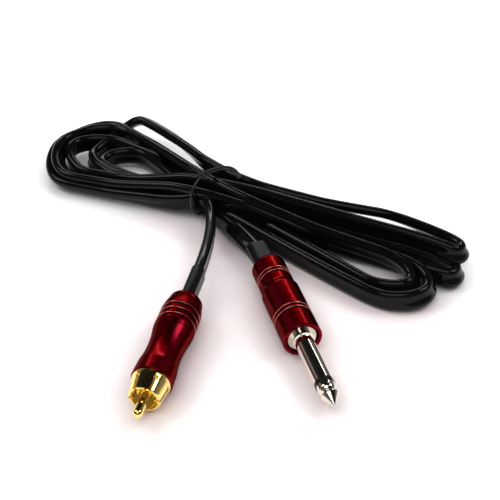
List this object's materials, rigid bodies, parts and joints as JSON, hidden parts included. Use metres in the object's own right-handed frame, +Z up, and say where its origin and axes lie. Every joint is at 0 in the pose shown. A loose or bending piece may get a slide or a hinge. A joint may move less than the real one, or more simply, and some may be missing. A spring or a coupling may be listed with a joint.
{
  "type": "phono to jack audio lead",
  "caption": "Flat twin audio lead, bundled in a loose hank with a wire tie, with a phono plug on one end and a 6.35 mm jack plug on the other, both with screwed metal barrels.",
  "frame": {"origin": "on the surface that the lead lies on, midway between the outer limits of the two plugs", "axes": "+Z up, +Y from the plugs towards the hank, +X to the right, towards the jack plug"},
  "size_m": [0.1609, 0.1708, 0.0202],
  "materials": {
    "nickel": "polished nickel plate on brass",
    "gold": "polished gold plate on brass",
    "red_anodised": "deep red anodised, fine turned surface",
    "black_ring": "black moulded insulator",
    "cream_insulator": "cream moulded insulator",
    "fibre_washer": "brown fibre",
    "tinned_strip": "tinned, pressed strip",
    "clear_liner": "milky plastic tube",
    "solder": "bright solder",
    "white_core": "white insulated core",
    "black_core": "black insulated core",
    "shrink": "black heat-shrink, satin",
    "cord_sheath": "black PVC, glossy",
    "tie_wire": "black plastic over soft wire"
  },
  "bodies": {
    "lead": {"jack_tip": "nickel", "jack_tip_insulator": "black_ring", "jack_sleeve": "nickel", "jack_rear_washer": "fibre_washer", "jack_tip_lug": "tinned_strip", "jack_ground_clamp": "tinned_strip", "jack_signal_core": "white_core", "jack_ground_core": "black_core", "jack_solder_joints": "solder", "jack_heat_shrink": "shrink", "phono_pin": "gold", "phono_pin_insulator": "cream_insulator", "phono_shell": "gold", "phono_ground_clamp": "tinned_strip", "phono_signal_core": "white_core", "phono_ground_core": "black_core", "phono_solder_joints": "solder", "phono_heat_shrink": "shrink", "cord_lead_jack": "cord_sheath", "cord_lead_phono": "cord_sheath", "cord_hank": "cord_sheath", "cable_tie": "tie_wire"},
    "jack_liner_tube": {"jack_liner": "clear_liner"},
    "jack_screw_barrel": {"jack_barrel": "red_anodised"},
    "phono_liner_tube": {"phono_liner": "clear_liner"},
    "phono_screw_barrel": {"phono_barrel": "red_anodised"}
  },
  "joints": [
    {"name": "jack_barrel_travel", "type": "slide", "parent": "lead", "child": "jack_liner_tube", "axis": [-0.2789, 0.9599, 0.0279], "range_m": [0, 0.0045]},
    {"name": "jack_barrel_turn", "type": "hinge", "parent": "jack_liner_tube", "child": "jack_screw_barrel", "pos_m": [0.01651, 0.0108, 0.00719], "axis": [-0.2789, 0.9599, 0.0279], "range_deg": [0, 2160]},
    {"name": "phono_barrel_travel", "type": "slide", "parent": "lead", "child": "phono_liner_tube", "axis": [0.2416, 0.9691, 0.0506], "range_m": [0, 0.0045]},
    {"name": "phono_barrel_turn", "type": "hinge", "parent": "phono_liner_tube", "child": "phono_screw_barrel", "pos_m": [-0.02088, -0.01012, 0.00766], "axis": [0.2416, 0.9691, 0.0506], "range_deg": [0, 2160]}
  ],
  "couplings": [
    {"joint": "jack_barrel_travel", "follows": "jack_barrel_turn", "m_per_rad": 0.00011937},
    {"joint": "phono_barrel_travel", "follows": "phono_barrel_turn", "m_per_rad": 0.00011937}
  ]
}
